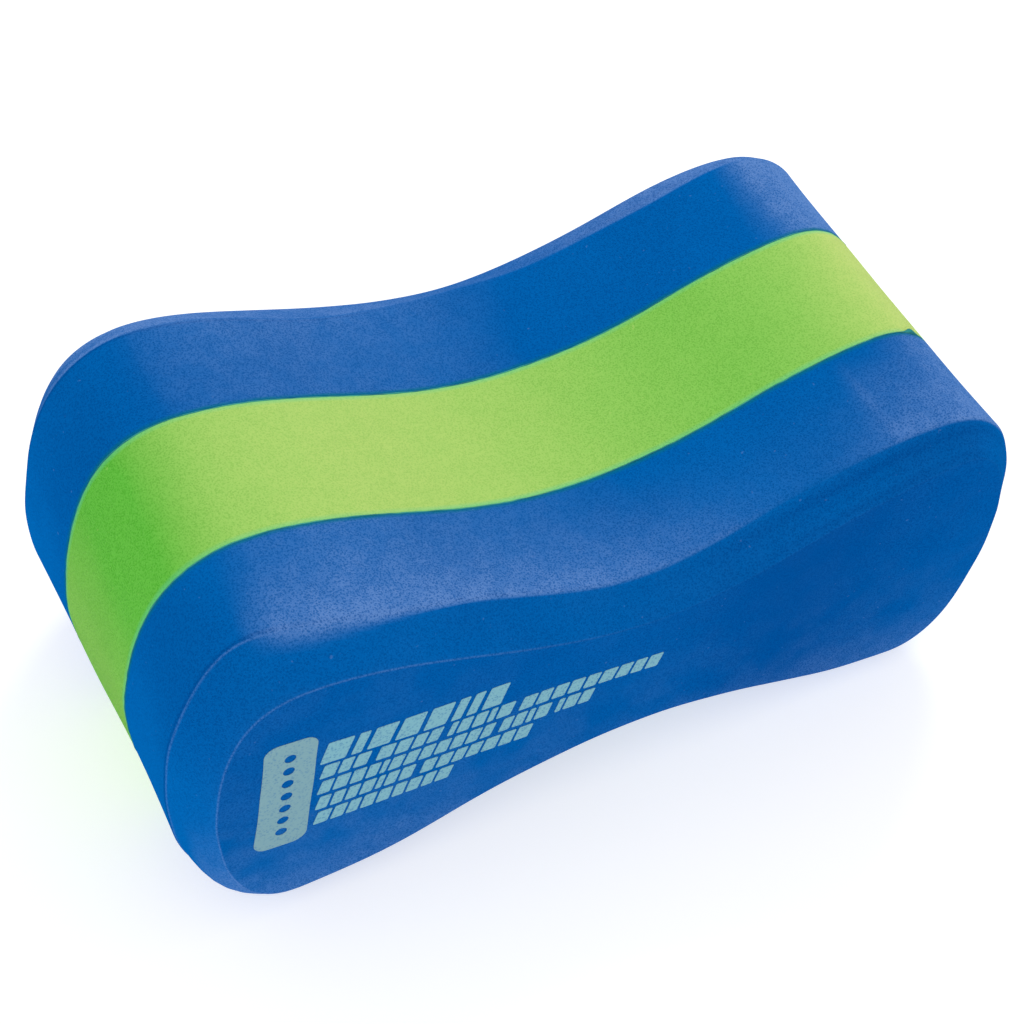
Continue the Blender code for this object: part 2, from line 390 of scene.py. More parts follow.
# One blob squeezed out at the small lobe: its place and width in columns, its sizes in metres
glueBlob = {"column": 51, "width": 2.2, "size": 0.0006, "reach": 0.00042, "nick": 0.0011}


def bondFilmPiece(name, middleY, seam, s=bondFilm):
    # a thin sheet whose edge bulges a little and wanders in and out
    unit = np.ones(columns)
    blob = hump(np.arange(columns), glueBlob["column"], glueBlob["width"]) if seam == "front" else 0.0 * unit
    creep = loopWobble(s["creepWaves"], s["creep"], s["seeds"][seam])
    edge = creep - s["inset"] + blob * glueBlob["reach"]
    y = middleY + seamCut["wander"][seam] + seamCut["ragged"][seam] + blob * glueBlob["size"]
    half = s["thickness"] / 2 + blob * glueBlob["size"]
    hidden = edge - s["depth"]
    steps = [(hidden, y - half), (edge, y - half), (edge + s["swell"], y), (edge, y + half), (hidden, y + half)]
    profile = np.stack([np.stack(step, axis=1) for step in steps])
    return closedLoft(name, onSlab(profile[..., 0], profile[..., 1]), s["capRows"], {})


frontLow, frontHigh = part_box("front_foam_layer")
rearLow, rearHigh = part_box("rear_foam_layer")
frontBondY = (frontHigh.y + lowCentre.y) / 2
rearBondY = (rearLow.y + highCentre.y) / 2
halfBond = seamCut["bondWidth"] / 2

frontFoam = outerSlabPiece("frontFoam", frontLow.y, frontBondY - halfBond, frontCut, "front")
rearFoam = outerSlabPiece("rearFoam", rearHigh.y, rearBondY + halfBond, rearCut, "rear")
middleFoam = middleSlabPiece("middleFoam", frontBondY + halfBond, rearBondY - halfBond)
frontBond = bondFilmPiece("frontBond", frontBondY, "front")
rearBond = bondFilmPiece("rearBond", rearBondY, "rear")
print("foam slabs and bonds made")


# Painted light and shade, set by facing: tilts are degrees from straight up, positive towards the small lobe, and
# places are metres. A pair is where a change starts and where it is complete, or a middle and a width; a triple
# adds the size of that hump
paintedShading = {
    "underside": (75.0, 120.0), "blueUnderside": (52.0, 100.0), "lowEnd": (66.0, 98.0),
    "edge": (0.3, 0.6), "face": (0.8, 0.97), "lobe": (0.030, 0.070),
}
# Painted highlight on the green slab where the light falls
greenHighlightSizes = {
    "span": (-45.0, 44.0), "lowEnd": 0.4, "lobe": 0.13, "lobeTilt": (-12.0, 4.0), "hollow": [(0.052, 0.022, 0.05)],
    "dimPatch": 0.10, "dimPatchTilt": (-50.0, 9.0), "dimPatchDepth": (0.0115, 0.0050),
}
# Painted highlight on the blue slabs: key light on the upward and small-lobe sides, painted sheen on the rear
# bevel, painted floor-bounce light low on the face and its bevel
highlightSizes = {
    "level": 0.004, "perDegree": 0.0010, "most": 0.050, "full": 0.110,
    "crown": (-0.070, 0.024), "crownTilt": (-24.0, 0.0),
    "lightStreakStart": (0.0700, 0.0760), "lightStreakEnd": (0.088, 0.098), "lightStreakLine": [(0.0750, 0.0012, 0.8)],
    "lightStreakDepth": (-0.020, -0.034),
    "rearBevel": 0.080, "rearBevelStart": (0.35, 0.6), "rearBevelEnd": (0.90, 0.98), "rearBevelUp": (0.0, 0.5),
    "rearBevelDark": [(0.018, 0.040, 0.65)],
    "foot": 0.030, "footHeight": (0.004, 0.030), "endFace": 0.008, "endFaceAt": (-0.075, -0.030),
    "lowBevel": 0.060, "lowBevelStart": (0.3, 0.6), "lowBevelTilt": (84.0, 125.0),
}
# Each outer slab's own share of the painted highlight
slabHighlight = {
    "front": {"ridge": 0.050, "ridgeTilt": (-26.0, 0.0), "lobe": 0.020, "lobeTilt": (6.0, 32.0),
              "crown": 0.014, "lightStreak": 0.012},
    "rear": {"ridge": 0.012, "ridgeTilt": (-10.0, 20.0), "lobe": 0.056, "lobeTilt": (-9.0, 6.0),
             "crown": 0.004, "lightStreak": 0.0},
}
# Painted light and shade levels of the blue, by facing and height
paintedShadeLevels = {
    "side": 0.53, "lowEnd": 0.42, "lobe": 0.24, "lobeTilt": (14.0, 45.0), "turn": 0.10, "turnTilt": (-25.0, 16.0),
    "face": 0.43, "faceTop": 0.08, "faceTopHeight": (0.020, 0.075), "faceDark": [(0.050, 0.032, 0.36)],
    "corner": 0.30, "cornerAt": (0.050, 0.110), "cornerHeight": (0.010, 0.060), "shade": 0.85,
}
# Scuffs, with painted floor-bounce light low on the printed face
scuffAndBounceSizes = {
    "face": 0.17, "drop": 0.10, "dropAt": (-0.080, 0.020), "high": 0.8, "height": (0.015, 0.065),
    "bevel": 0.012, "bevelStart": (0.4, 0.6), "rear": 0.06,
}


def takenMark(mesh, name):
    # a mark that only the painted light and shade need, read and then removed
    values = np.zeros(len(mesh.vertices))
    mesh.attributes[name].data.foreach_get("value", values)
    mesh.attributes.remove(mesh.attributes[name])
    return values


def facingOf(mesh, f=paintedShading):
    # each point's place and normal, the angle of its normal about Y, and smooth steps of them for parts of a slab
    count = len(mesh.vertices)
    normal, point = np.empty(count * 3, np.float32), np.empty(count * 3, np.float32)
    mesh.vertex_normals.foreach_get("vector", normal)
    mesh.vertices.foreach_get("co", point)
    nx, ny, nz = normal.reshape(-1, 3).T
    x, y, z = point.reshape(-1, 3).T
    tilt = np.degrees(np.arctan2(nx, nz))
    onEdge = smoothStep(*f["edge"], np.hypot(nx, nz))
    return {
        "x": x, "y": y, "z": z, "tilt": tilt, "rearwards": ny, "upwards": nz, "onEdge": onEdge,
        "onFace": smoothStep(*f["face"], -ny),
        "onRearFace": smoothStep(*f["face"], ny),
        "onLobe": smoothStep(*f["lobe"], x),
        "lowEnd": smoothStep(*f["lowEnd"], -tilt) * onEdge,
        "above": 1 - smoothStep(*f["underside"], np.abs(tilt)),
        "aboveBlue": 1 - smoothStep(*f["blueUnderside"], np.abs(tilt)),
    }


def greenHighlightMark(at, b=greenHighlightSizes):
    # painted highlight on the green, where the light falls: grows evenly with tilt, more on the small lobe, less
    # in the hollow and in one dimmer patch
    tilt = at["tilt"]
    greenHighlight = np.clip((tilt - b["span"][0]) / (b["span"][1] - b["span"][0]), 0.0, 1.0) + b["lowEnd"] * at["lowEnd"]
    greenHighlight += b["lobe"] * at["onLobe"] * smoothStep(*b["lobeTilt"], tilt) - humps(at["x"], b["hollow"])
    dimPatch = b["dimPatch"] * hump(tilt, *b["dimPatchTilt"]) * hump(at["y"], *b["dimPatchDepth"])
    return greenHighlight * at["above"] - dimPatch


def paintedHighlightMark(at, own, rise, spill, c=highlightSizes):
    # painted highlight where the lamps light the blue: grows with tilt and towards the ridge, more on the crown,
    # the small lobe and a light streak, and fades out past the ridge
    x, tilt = at["x"], at["tilt"]
    paintedHighlight = np.clip(c["level"] + c["perDegree"] * tilt, 0.0, c["most"])
    paintedHighlight += own["ridge"] * rise ** 2 * smoothStep(*own["ridgeTilt"], tilt)
    paintedHighlight += own["crown"] * hump(x, *c["crown"]) * smoothStep(*c["crownTilt"], tilt)
    paintedHighlight += own["lobe"] * smoothStep(*own["lobeTilt"], tilt) * at["onLobe"]
    lightStreak = smoothStep(*c["lightStreakStart"], x) * (1 - smoothStep(*c["lightStreakEnd"], x)) + humps(x, c["lightStreakLine"])
    paintedHighlight += own["lightStreak"] * lightStreak * smoothStep(*c["lightStreakDepth"], at["y"])
    paintedHighlight *= spill * at["aboveBlue"]
    # painted sheen on the rear bevel's upper side
    pastSide = smoothStep(*c["rearBevelStart"], at["rearwards"])
    beforeFace = 1 - smoothStep(*c["rearBevelEnd"], at["rearwards"])
    onRearBevel = pastSide * beforeFace * smoothStep(*c["rearBevelUp"], at["upwards"])
    paintedHighlight += c["rearBevel"] * onRearBevel * (1 - humps(x, c["rearBevelDark"]))
    # painted floor-bounce light on the foot of the printed face and on the bevel below its large end
    low = 1 - smoothStep(*c["footHeight"], at["z"])
    endFace = c["endFace"] * (1 - smoothStep(*c["endFaceAt"], x)) * low ** 0.5
    paintedHighlight += at["onFace"] * (c["foot"] * low + endFace)
    onBevel = smoothStep(*c["lowBevelStart"], -at["rearwards"]) * at["onEdge"]
    paintedHighlight += c["lowBevel"] * smoothStep(*c["lowBevelTilt"], -tilt) * onBevel
    return paintedHighlight / c["full"]


def paintedShadeLevelMark(at, shade, t=paintedShadeLevels):
    # painted light and shade: one level for the sides and one for the printed face, set by facing and height, both
    # darkened by the painted shade
    x, z, tilt = at["x"], at["z"], at["tilt"]
    side = t["side"] + t["lowEnd"] * at["lowEnd"] + t["turn"] * hump(tilt, *t["turnTilt"]) * at["onEdge"]
    side += t["lobe"] * smoothStep(*t["lobeTilt"], tilt) * at["onLobe"] * at["onEdge"]
    face = t["face"] - t["faceTop"] * smoothStep(*t["faceTopHeight"], z) - humps(x, t["faceDark"])
    face += t["corner"] * smoothStep(*t["cornerAt"], -x) * (1 - smoothStep(*t["cornerHeight"], z))
    return (side + (face - side) * at["onFace"]) * (1 - t["shade"] * shade)


def scuffAndBounceMark(at, s=scuffAndBounceSizes):
    # scuffs and painted floor-bounce light: most at the printed face's low large end, a little on its bevel and on
    # the rear face
    face = s["face"] - s["drop"] * smoothStep(*s["dropAt"], at["x"])
    face *= 1 - s["high"] * smoothStep(*s["height"], at["z"])
    bevel = s["bevel"] * smoothStep(*s["bevelStart"], -at["rearwards"])
    return face * at["onFace"] + bevel * (1 - at["onFace"]) + s["rear"] * at["onRearFace"]


def paintLightShadeAndScuffs(piece, own=None):
    # painted highlight for the middle slab; painted highlight, painted light and shade levels, and scuffs with
    # painted bounce light for an outer one, whose own highlight share is given
    mesh = piece.data
    at = facingOf(mesh)
    if own:
        rise, spill, shade = (takenMark(mesh, mark) for mark in ("sideRise", "spill", "shade"))
        marks = {"paintedHighlight": paintedHighlightMark(at, own, rise, spill), "paintedShadeLevel": paintedShadeLevelMark(at, shade), "scuffAndBounce": scuffAndBounceMark(at)}
    else:
        marks = {"greenHighlight": greenHighlightMark(at)}
    for mark, values in marks.items():
        mesh.attributes.new(mark, "FLOAT", "POINT").data.foreach_set("value", values)


paintLightShadeAndScuffs(frontFoam, slabHighlight["front"])
paintLightShadeAndScuffs(middleFoam)
paintLightShadeAndScuffs(rearFoam, slabHighlight["rear"])
print("fading laid on the slabs")


# Print, metres: start and turn of the lines from the waist, then sizes across and up
printLayout = {
    "start": (-0.0880, 0.0035),
    "turn": -0.062,
    "inkHeight": 0.00012,
    "badge": {"size": (0.0134, 0.0430), "gap": 0.0020, "corner": 0.0036,
              "dots": 7, "dotSize": 0.0030, "dotPitch": 0.0050},
    "heading": {"height": 0.0078, "rise": 0.0123, "length": 0.0468, "words": (8,)},
    "lines": ({"length": 0.0910, "words": (3, 4, 5, 9)}, {"length": 0.0730, "words": (12, 4, 3)},
              {"length": 0.0565, "words": (7, 7)}, {"length": 0.0360, "words": (9,)}),
    "lineHeight": 0.0050,
    "linePitch": 0.0064,
    "firstRise": 0.0048,
    "slant": 0.22,
    "blockWidths": (0.42, 0.80, 0.90, 1.0),
    "widthShares": (0.14, 0.3, 0.36, 0.2),
    "blockGap": 0.22,
    "wordGap": 0.60,
    "corner": 0.0004,
    "cell": 0.0025,
    "sunk": 0.45,
    "seed": 31,
}


def roundedLoop(centre, size, corner, slant=0.0, steps=4):
    # a rectangle with quarter circles at its corners, sheared sideways by its height
    angle = np.linspace(0, 2 * np.pi, 4 * steps, endpoint=False).reshape(4, steps)
    angle = angle + np.linspace(0, np.pi / 2 / steps, steps)
    signs = np.array([[1, 1], [-1, 1], [-1, -1], [1, -1]])
    middle = signs * (np.array(size) / 2 - corner)
    x = middle[:, :1] + corner * np.cos(angle)
    z = middle[:, 1:] + corner * np.sin(angle)
    return np.stack([x + slant * z, z], axis=-1).reshape(-1, 2) + centre


def inkPiece(name, loops):
    # closed loops filled as one flat shape, where a loop inside another is a hole, then given the ink's height
    shape = bpy.data.curves.new(name, "CURVE")
    shape.dimensions, shape.fill_mode, shape.extrude = "2D", "BOTH", printLayout["inkHeight"] / 2
    for loop in loops:
        spline = shape.splines.new("POLY")
        spline.points.add(len(loop) - 1)
        spline.points.foreach_set("co", np.pad(loop, ((0, 0), (0, 2))).ravel())
        spline.use_cyclic_u = True
    drawn = bpy.data.objects.new(name, shape)
    scene.collection.objects.link(drawn)
    mesh = bpy.data.meshes.new_from_object(drawn.evaluated_get(bpy.context.evaluated_depsgraph_get()))
    bpy.data.objects.remove(drawn)
    bpy.data.curves.remove(shape)
    shell = bmesh.new()
    shell.from_mesh(mesh)
    bmesh.ops.remove_doubles(shell, verts=shell.verts, dist=1e-6)
    low, high = np.concatenate(loops).min(axis=0), np.concatenate(loops).max(axis=0)
    for axis in (0, 1):
        for cut in np.arange(low[axis] + printLayout["cell"], high[axis], printLayout["cell"]):
            place, direction = [0.0, 0.0, 0.0], [0.0, 0.0, 0.0]
            place[axis], direction[axis] = cut, 1.0
            bmesh.ops.bisect_plane(shell, geom=shell.verts[:] + shell.edges[:] + shell.faces[:],
                                   plane_co=place, plane_no=direction)
    bmesh.ops.recalc_face_normals(shell, faces=shell.faces)
    shell.to_mesh(mesh)
    shell.free()
    flat = np.empty(len(mesh.vertices) * 3)
    mesh.vertices.foreach_get("co", flat)
    flat = flat.reshape(-1, 3)
    onBlock = flat[:, :2] @ turnMatrix(printLayout["turn"]).T + printLayout["start"]
    middleY = frontLow.y - printLayout["inkHeight"] * printLayout["sunk"]
    placed = handCut(inBlock(onBlock, middleY + flat[:, 2]))
    mesh.vertices.foreach_set("co", placed.ravel())
    mesh.name = name
    piece = bpy.data.objects.new(name, mesh)
    scene.collection.objects.link(piece)
    return piece


def greekedLine(words, length, height, rise, randomWidths):
    # a block for each character, wide and narrow ones mixed, with a gap after each word, fitted to the length
    p = printLayout
    widths = [randomWidths.choice(p["blockWidths"], p=p["widthShares"], size=count) for count in words]
    total = sum(w.sum() + p["blockGap"] * (len(w) - 1) for w in widths) + p["wordGap"] * (len(words) - 1)
    unit = length / total
    loops, x = [], 0.0
    for word in widths:
        for width in word:
            centre = np.array([(x + width / 2) * unit, rise])
            loops.append(roundedLoop(centre, (width * unit, height), p["corner"], p["slant"]))
            x += width + p["blockGap"]
        x += p["wordGap"] - p["blockGap"]
    return loops


badge = printLayout["badge"]
badgeMiddle = np.array([-badge["gap"] - badge["size"][0] / 2, 0.0])
badgeLoops = [roundedLoop(badgeMiddle, badge["size"], badge["corner"], steps=10)]
for step in np.arange(badge["dots"]) - (badge["dots"] - 1) / 2:
    dotMiddle = badgeMiddle + [0.0, step * badge["dotPitch"]]
    badgeLoops.append(roundedLoop(dotMiddle, (badge["dotSize"],) * 2, badge["dotSize"] / 2, steps=8))
badgeInk = inkPiece("badgeInk", badgeLoops)

randomWidths = np.random.default_rng(printLayout["seed"])
heading = printLayout["heading"]
headingLoops = greekedLine(heading["words"], heading["length"], heading["height"], heading["rise"], randomWidths)
headingInk = inkPiece("headingInk", headingLoops)
lineInks = []
for number, line in enumerate(printLayout["lines"]):
    rise = printLayout["firstRise"] - number * printLayout["linePitch"]
    loops = greekedLine(line["words"], line["length"], printLayout["lineHeight"], rise, randomWidths)
    lineInks.append(inkPiece(f"lineInk{number + 1}", loops))
print("print made")


# Shader node groups
def addNode(tree, kind, x, y, **settings):
    node = tree.nodes.new(kind)
    node.location = (x, y)
    for name, value in settings.items():
        setattr(node, name, value)
    return node


def setInputs(node, **values):
    for name, value in values.items():
        node.inputs[name.replace("_", " ")].default_value = value
    return node


def newGroup(name, inputs, outputs):
    group = bpy.data.node_groups.new(name, "ShaderNodeTree")
    for label, kind, value in inputs:
        socket = group.interface.new_socket(label, in_out="INPUT", socket_type="NodeSocket" + kind)
        if value is not None:
            socket.default_value = value
    for label, kind in outputs:
        group.interface.new_socket(label, in_out="OUTPUT", socket_type="NodeSocket" + kind)
    return group, addNode(group, "NodeGroupInput", -900, 0), addNode(group, "NodeGroupOutput", 700, 0)


def mathNode(tree, operation, x, y, first, second, clamp=False):
    # sockets are linked and numbers are set
    node = addNode(tree, "ShaderNodeMath", x, y, operation=operation, use_clamp=clamp)
    for index, value in enumerate((first, second)):
        if isinstance(value, bpy.types.NodeSocket):
            tree.links.new(value, node.inputs[index])
        else:
            node.inputs[index].default_value = value
    return node.outputs[0]


def rampedNode(tree, value, low, high, x, y, toLow=0.0, toHigh=1.0):
    node = addNode(tree, "ShaderNodeMapRange", x, y, interpolation_type="SMOOTHSTEP")
    setInputs(node, From_Min=low, From_Max=high, To_Min=toLow, To_Max=toHigh)
    tree.links.new(value, node.inputs["Value"])
    return node.outputs["Result"]


def noiseNode(tree, vector, scale, x, y, detail, roughness):
    node = addNode(tree, "ShaderNodeTexNoise", x, y)
    setInputs(node, Detail=detail, Roughness=roughness)
    tree.links.new(vector, node.inputs["Vector"])
    tree.links.new(scale, node.inputs["Scale"])
    return node.outputs["Fac"]


# Where each group's noise starts and ends to count, from 0 to 1
grainShape = {"hollow": (0.12, 0.55), "hollowDepth": 0.35}
mottleShape = {"patches": (0.30, 0.70), "clouds": (0.32, 0.68), "cloudsPerPatch": 7.0}
dustShape = {"specks": (0.76, 0.82)}


def makeFoamGrain(g=grainShape):
    # closed cells: fine noise for the skin, minus the hollows of cut cells
    inputs = [("Vector", "Vector", None), ("Skin Scale", "Float", 2300.0), ("Cell Scale", "Float", 1500.0)]
    group, entry, leave = newGroup("foamGrain", inputs, [("Height", "Float"), ("Hollows", "Float")])
    skin = noiseNode(group, entry.outputs["Vector"], entry.outputs["Skin Scale"], -650, 150, 3.0, 0.6)
    cells = addNode(group, "ShaderNodeTexVoronoi", -650, -150, feature="F1")
    group.links.new(entry.outputs["Vector"], cells.inputs["Vector"])
    group.links.new(entry.outputs["Cell Scale"], cells.inputs["Scale"])
    hollows = rampedNode(group, cells.outputs["Distance"], *g["hollow"], -400, -150, 1.0, 0.0)
    sunk = mathNode(group, "MULTIPLY", -100, -100, hollows, g["hollowDepth"])
    height = mathNode(group, "SUBTRACT", 100, 50, skin, sunk)
    group.links.new(height, leave.inputs["Height"])
    group.links.new(hollows, leave.inputs["Hollows"])
    return group


def makeSoftMottle(m=mottleShape):
    # wide cloudy patches and finer ones inside them, both from 0 to 1
    inputs = [("Vector", "Vector", None), ("Patch Scale", "Float", 30.0)]
    group, entry, leave = newGroup("softMottle", inputs, [("Patches", "Float"), ("Clouds", "Float")])
    patches = noiseNode(group, entry.outputs["Vector"], entry.outputs["Patch Scale"], -650, 150, 2.0, 0.5)
    finer = mathNode(group, "MULTIPLY", -750, -150, entry.outputs["Patch Scale"], m["cloudsPerPatch"])
    clouds = noiseNode(group, entry.outputs["Vector"], finer, -600, -150, 4.0, 0.6)
    group.links.new(rampedNode(group, patches, *m["patches"], -350, 150), leave.inputs["Patches"])
    group.links.new(rampedNode(group, clouds, *m["clouds"], -350, -150), leave.inputs["Clouds"])
    return group


def makeDustSpecks(d=dustShape):
    # scattered pale dust: a sparse threshold of fine noise
    inputs = [("Vector", "Vector", None), ("Speck Scale", "Float", 900.0)]
    group, entry, leave = newGroup("dustSpecks", inputs, [("Dust", "Float")])
    fine = noiseNode(group, entry.outputs["Vector"], entry.outputs["Speck Scale"], -650, 100, 1.0, 0.4)
    group.links.new(rampedNode(group, fine, *d["specks"], -350, 150), leave.inputs["Dust"])
    return group


foamGrain, softMottle, dustSpecks = makeFoamGrain(), makeSoftMottle(), makeDustSpecks()


def placeGroup(tree, group, x, y, vector, **values):
    node = addNode(tree, "ShaderNodeGroup", x, y, node_tree=group)
    tree.links.new(vector, node.inputs["Vector"])
    return setInputs(node, **values)


def mixColours(tree, factor, first, second, x, y):
    # the factor is a socket; each colour is a socket or three numbers
    node = addNode(tree, "ShaderNodeMix", x, y, data_type="RGBA")
    tree.links.new(factor, node.inputs[0])
    for socket, value in ((node.inputs[6], first), (node.inputs[7], second)):
        if isinstance(value, bpy.types.NodeSocket):
            tree.links.new(value, socket)
        else:
            socket.default_value = (*value, 1.0)
    return node.outputs[2]


def newMaterial(name, **constants):
    material = bpy.data.materials.new(name)
    material.use_nodes = True
    shader = material.node_tree.nodes["Principled BSDF"]
    setInputs(shader, **constants)
    where = addNode(material.node_tree, "ShaderNodeTexCoord", -1500, 0)
    return material, material.node_tree, shader, where.outputs["Object"]


# Foam finishes: colours are linear, and pairs are an effect's least and most
foamLook = {
    "patchScale": 26.0, "scuffScale": 80.0, "speckScale": 700.0, "skinScale": 2700.0, "cellScale": 1674.0,
    "grainSpan": (0.25, 0.60), "dust": 0.30, "bumpDistance": 0.00030,
}
blueFinish = {
    # the third colour is the painted highlight, which the wear lines and dust also use
    "deep": (0.0002, 0.074, 0.312), "pale": (0.0006, 0.140, 0.485), "paintedLightAndWear": (0.110, 0.240, 0.570),
    "stained": (0.003, 0.150, 0.250), "stain": 0.85,
    "paintedShadeLevelMark": "paintedShadeLevel", "patches": (0.88, 1.12), "speckle": 0.21, "hasScuffAndBounce": True,
    "highlightMark": "paintedHighlight", "stipple": (0.45, 1.50), "drift": (0.80, 1.15), "wear": 0.34,
    "roughness": (0.52, 0.61), "bump": 0.75,
    "shader": {"Specular_IOR_Level": 0.0},
}
greenFinish = {
    # the third colour is the painted highlight, which the dust also uses
    "deep": (0.094, 0.472, 0.034), "pale": (0.142, 0.565, 0.060), "paintedLightAndWear": (0.525, 0.700, 0.190),
    "stained": (0.130, 0.640, 0.300), "stain": 0.62,
    "paintedShadeLevelMark": None, "patches": (0.40, 0.62), "speckle": 0.50, "hasScuffAndBounce": False,
    "highlightMark": "greenHighlight", "stipple": (0.86, 1.12), "drift": (0.97, 1.03), "wear": 0.0,
    "roughness": (0.56, 0.65), "bump": 0.65,
    "shader": {"Specular_IOR_Level": 0.05},
}


def markNode(tree, name, x, y):
    return addNode(tree, "ShaderNodeAttribute", x, y, attribute_name=name).outputs["Fac"]


def addBump(tree, shader, height, strength, distance):
    bump = setInputs(addNode(tree, "ShaderNodeBump", -300, -400), Strength=strength, Distance=distance)
    tree.links.new(height, bump.inputs["Height"])
    tree.links.new(bump.outputs["Normal"], shader.inputs["Normal"])


def scuffAndBounceNode(tree, place, paintedLightAndWear, drift):
    # patchy scuffs and painted bounce light added to the painted highlight
    patches = placeGroup(tree, softMottle, -1350, 850, place, Patch_Scale=foamLook["scuffScale"])
    scuffsAndBounce = mathNode(tree, "MULTIPLY", -1100, 850, patches.outputs["Patches"], drift)
    scuffsAndBounce = mathNode(tree, "MULTIPLY", -950, 850, scuffsAndBounce, markNode(tree, "scuffAndBounce", -1200, 950))
    return mathNode(tree, "ADD", -800, 800, paintedLightAndWear, scuffsAndBounce)


def wornNode(tree, stipple, wear):
    # a broken pale line along the face's edge and the ridge
    onFaceEdge, onRidge = markNode(tree, "faceWear", -1200, 1000), markNode(tree, "ridgeWear", -1200, 1200)
    line = mathNode(tree, "MAXIMUM", -900, 900, onFaceEdge, onRidge)
    line = mathNode(tree, "MULTIPLY", -750, 900, line, stipple)
    return mathNode(tree, "MULTIPLY", -600, 900, line, wear, clamp=True)


def makeFoam(name, f, look=foamLook):
    # mottled foam with painted light and shade levels on its patches and a painted highlight from its marks
    # through a stipple, with worn edges, dust, and a grain for the bump
    material, tree, shader, place = newMaterial(name, **f["shader"])
    mottle = placeGroup(tree, softMottle, -1200, 300, place, Patch_Scale=look["patchScale"])
    grain = placeGroup(tree, foamGrain, -1200, -300, place,
                       Skin_Scale=look["skinScale"], Cell_Scale=look["cellScale"])
    specks = placeGroup(tree, dustSpecks, -1200, 0, place, Speck_Scale=look["speckScale"])
    height, clouds = grain.outputs["Height"], mottle.outputs["Clouds"]
    speckle = rampedNode(tree, height, *look["grainSpan"], -1050, 200, -f["speckle"], f["speckle"])
    stipple = rampedNode(tree, height, *look["grainSpan"], -1000, 600, *f["stipple"])
    drift = rampedNode(tree, clouds, 0.0, 1.0, -1000, 700, *f["drift"])

    cloudy = rampedNode(tree, mottle.outputs["Patches"], 0.0, 1.0, -1150, 450, *f["patches"])
    # painted light and shade level on the blue's patches
    if f["paintedShadeLevelMark"]:
        cloudy = mathNode(tree, "MULTIPLY", -1050, 450, cloudy, markNode(tree, f["paintedShadeLevelMark"], -1200, 500))
    cloudy = mathNode(tree, "ADD", -950, 450, cloudy, speckle, clamp=True)
    colour = mixColours(tree, cloudy, f["deep"], f["pale"], -800, 300)

    # painted highlight from the mark, with scuffs and painted bounce light on the blue
    paintedLightAndWear = mathNode(tree, "MULTIPLY", -850, 650, markNode(tree, f["highlightMark"], -1200, 800), drift)
    if f["hasScuffAndBounce"]:
        paintedLightAndWear = scuffAndBounceNode(tree, place, paintedLightAndWear, drift)
    paintedLightAndWear = mathNode(tree, "MULTIPLY", -700, 650, paintedLightAndWear, stipple, clamp=True)
    colour = mixColours(tree, paintedLightAndWear, colour, f["paintedLightAndWear"], -600, 300)
    if f["wear"]:
        colour = mixColours(tree, wornNode(tree, stipple, f["wear"]), colour, f["paintedLightAndWear"], -400, 300)

    stain = mathNode(tree, "MULTIPLY", -800, 100, markNode(tree, "stain", -1200, 150), f["stain"])
    stain = mathNode(tree, "MULTIPLY", -650, 100, stain, drift, clamp=True)
    colour = mixColours(tree, stain, colour, f["stained"], -300, 300)
    dusty = mathNode(tree, "MULTIPLY", -600, 0, specks.outputs["Dust"], look["dust"])
    colour = mixColours(tree, dusty, colour, f["paintedLightAndWear"], -150, 300)
    tree.links.new(colour, shader.inputs["Base Color"])

    rough = rampedNode(tree, clouds, 0.0, 1.0, -600, -150, *f["roughness"])
    tree.links.new(rough, shader.inputs["Roughness"])
    addBump(tree, shader, height, f["bump"], look["bumpDistance"])
    return material


# Cured glue, where it shows between the slabs
glueFinish = {
    "deep": (0.006, 0.200, 0.240), "pale": (0.040, 0.380, 0.330), "patchScale": 120.0,
    "shader": {"Roughness": 0.4, "Specular_IOR_Level": 0.3},
}


def makeGlue(name, f=glueFinish):
    # two glue colours in small patches
    material, tree, shader, place = newMaterial(name, **f["shader"])
    mottle = placeGroup(tree, softMottle, -1200, 300, place, Patch_Scale=f["patchScale"])
    colour = mixColours(tree, mottle.outputs["Patches"], f["deep"], f["pale"], -600, 300)
    tree.links.new(colour, shader.inputs["Base Color"])
    return material


# Screen-print ink, and how far it is worn off the hollows of the grain
inkLook = {
    "patchScale": 60.0, "skinScale": 1700.0, "cellScale": 1300.0, "bareSpan": (0.5, 1.2),
    "bump": 0.4, "bumpDistance": 0.0002,
    "shader": {"Roughness": 0.6, "Specular_IOR_Level": 0.2},
}
lineFinish = {"ink": (0.205, 0.465, 0.560), "thin": (0.012, 0.150, 0.400), "worn": 0.50}
badgeFinish = {"ink": (0.212, 0.395, 0.455), "thin": (0.012, 0.150, 0.400), "worn": 0.40}


def makeInk(name, f, look=inkLook):
    # ink that sits on the tops of the grain, so the foam's colour shows through its hollows
    material, tree, shader, place = newMaterial(name, **look["shader"])
    mottle = placeGroup(tree, softMottle, -1200, 300, place, Patch_Scale=look["patchScale"])
    grain = placeGroup(tree, foamGrain, -1200, -300, place,
                       Skin_Scale=look["skinScale"], Cell_Scale=look["cellScale"])
    patchy = rampedNode(tree, mottle.outputs["Clouds"], 0.0, 1.0, -800, 200, *look["bareSpan"])
    bare = mathNode(tree, "MULTIPLY", -800, 0, grain.outputs["Hollows"], f["worn"])
    bare = mathNode(tree, "MULTIPLY", -650, 0, bare, patchy)
    colour = mixColours(tree, bare, f["ink"], f["thin"], -400, 200)
    tree.links.new(colour, shader.inputs["Base Color"])
    addBump(tree, shader, grain.outputs["Height"], look["bump"], look["bumpDistance"])
    return material


blueFoam, greenFoam = makeFoam("blueFoam", blueFinish), makeFoam("greenFoam", greenFinish)
curedGlue = makeGlue("curedGlue")
lineInk, badgePaint = makeInk("lineInk", lineFinish), makeInk("badgePaint", badgeFinish)
print("materials made")


